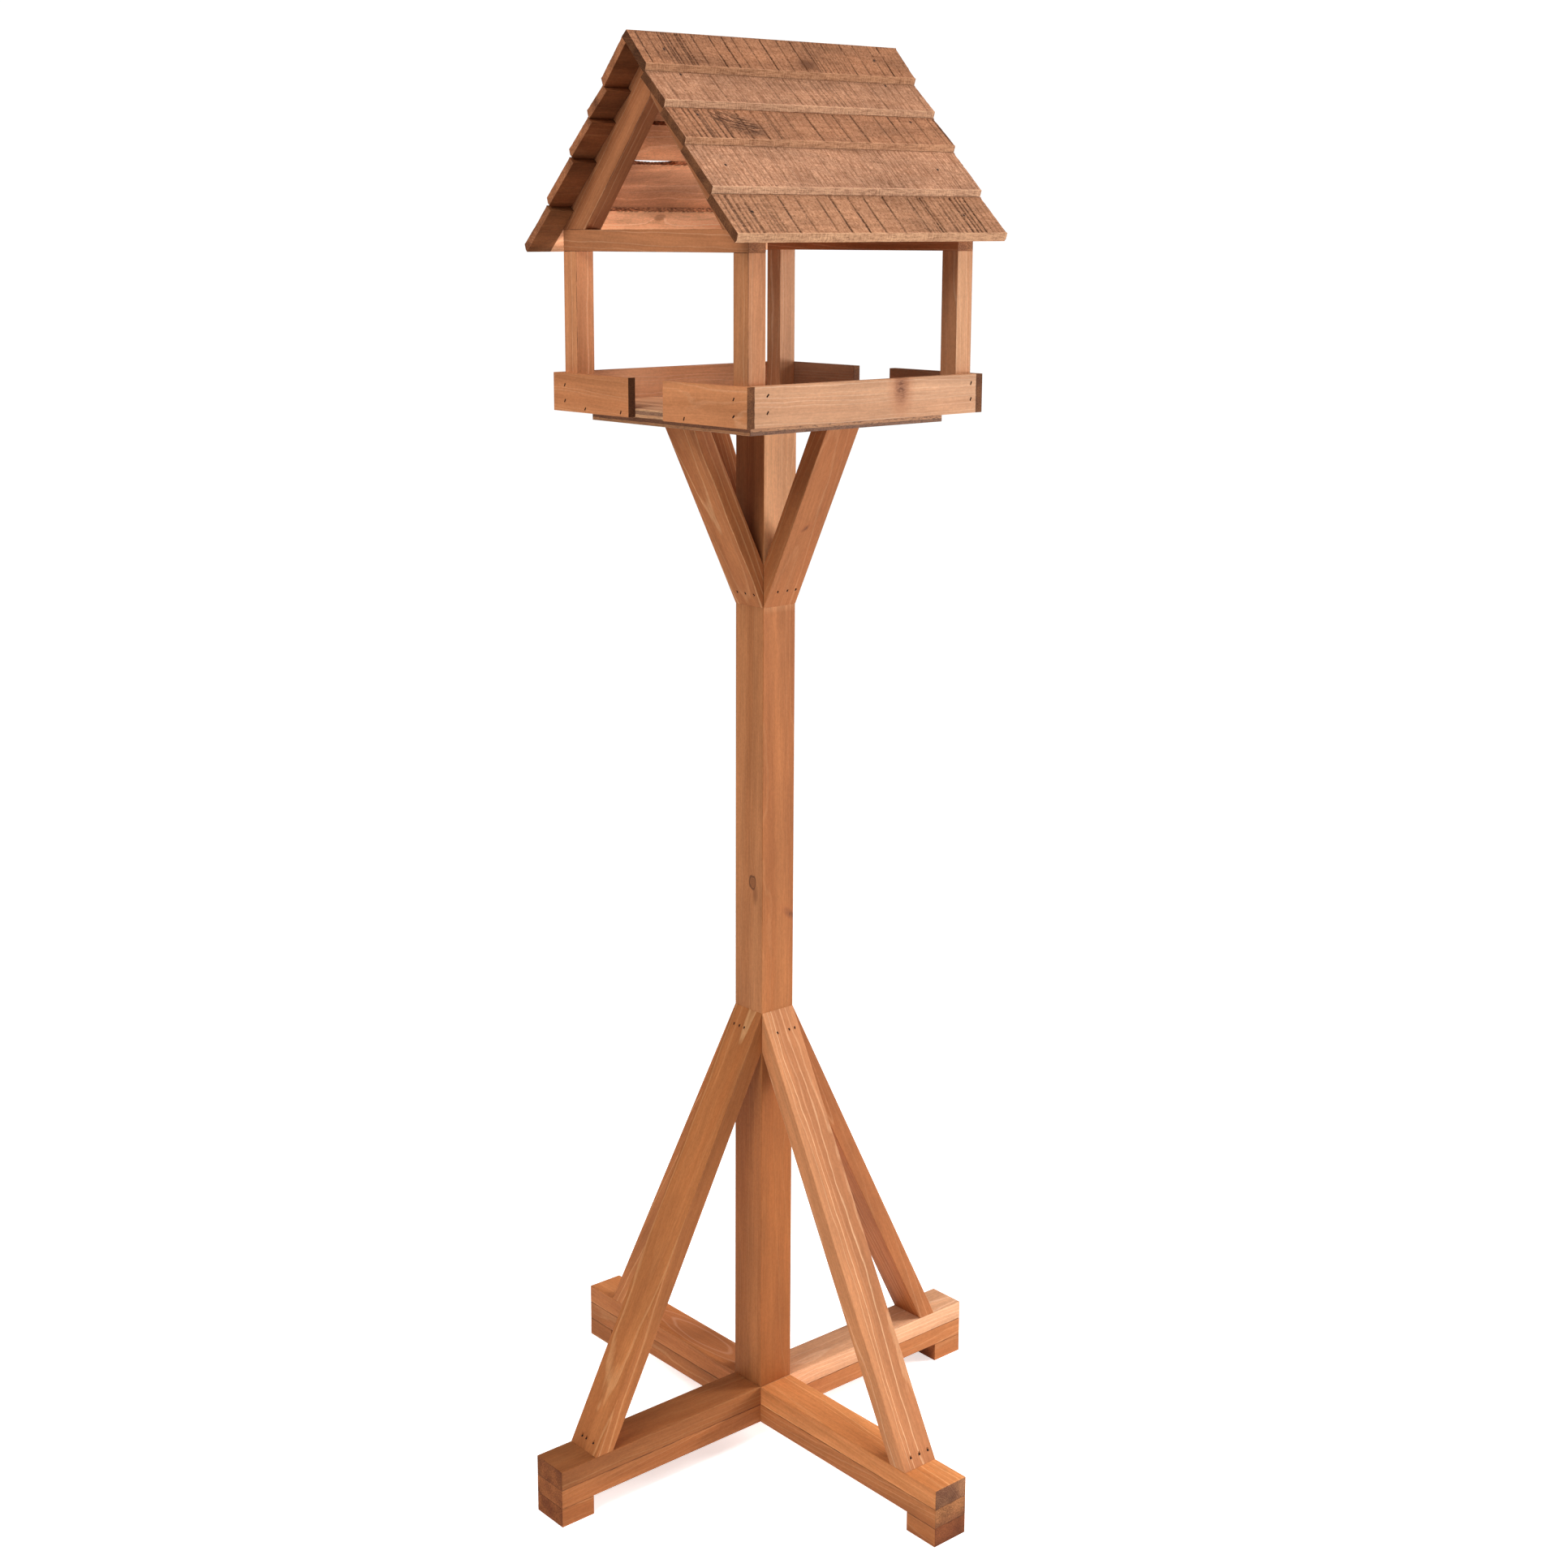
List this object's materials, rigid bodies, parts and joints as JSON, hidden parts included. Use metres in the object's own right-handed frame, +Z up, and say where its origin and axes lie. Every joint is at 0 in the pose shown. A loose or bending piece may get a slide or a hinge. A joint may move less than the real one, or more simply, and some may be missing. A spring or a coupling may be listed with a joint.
{
  "type": "bird table",
  "caption": "Free-standing wooden bird table: square post on a crossed base with sloping braces, walled feeding tray with sweep-out gaps, open gables and a pitched roof of stepped boards.",
  "frame": {"origin": "on the floor under the middle of the post, at the centre of the crossed base", "axes": "+Z up, X along the roof ridge with a gable at each end, Y across the two roof slopes"},
  "size_m": [0.602, 0.602, 1.5427],
  "materials": {
    "planed_softwood": "satin stain over planed faces",
    "rough_board": "stained, sawn faces left rough",
    "plywood": "stained plywood with sawn edges",
    "brad_steel": "dull, weathered"
  },
  "bodies": {
    "root": {"base_lower_half_back": "planed_softwood", "base_lower_half_front": "planed_softwood", "base_lower_long": "planed_softwood", "base_upper_half_left": "planed_softwood", "base_upper_half_right": "planed_softwood", "base_upper_long": "planed_softwood", "brace_lower_back": "planed_softwood", "brace_lower_front": "planed_softwood", "brace_lower_left": "planed_softwood", "brace_lower_right": "planed_softwood", "brace_upper_back": "planed_softwood", "brace_upper_front": "planed_softwood", "brace_upper_left": "planed_softwood", "brace_upper_right": "planed_softwood", "brads_base": "brad_steel", "brads_lower_braces": "brad_steel", "brads_plates": "brad_steel", "brads_roof_boards": "brad_steel", "brads_roof_frame": "brad_steel", "brads_tray": "brad_steel", "brads_upper_braces": "brad_steel", "corner_post_back_left": "planed_softwood", "corner_post_back_right": "planed_softwood", "corner_post_front_left": "planed_softwood", "corner_post_front_right": "planed_softwood", "floor_ply": "plywood", "foot_back": "planed_softwood", "foot_front": "planed_softwood", "foot_left": "planed_softwood", "foot_right": "planed_softwood", "post": "planed_softwood", "rafter_back_left": "planed_softwood", "rafter_back_right": "planed_softwood", "rafter_front_left": "planed_softwood", "rafter_front_right": "planed_softwood", "roof_board_left_1": "rough_board", "roof_board_left_2": "rough_board", "roof_board_left_3": "rough_board", "roof_board_left_4": "rough_board", "roof_board_left_5": "rough_board", "roof_board_right_1": "rough_board", "roof_board_right_2": "rough_board", "roof_board_right_3": "rough_board", "roof_board_right_4": "rough_board", "roof_board_right_5": "rough_board", "support_ply": "plywood", "tie_beam_back": "planed_softwood", "tie_beam_front": "planed_softwood", "tray_end_back_left": "planed_softwood", "tray_end_back_right": "planed_softwood", "tray_end_front_left": "planed_softwood", "tray_end_front_right": "planed_softwood", "tray_side_left": "planed_softwood", "tray_side_right": "planed_softwood"}
  },
  "joints": []
}
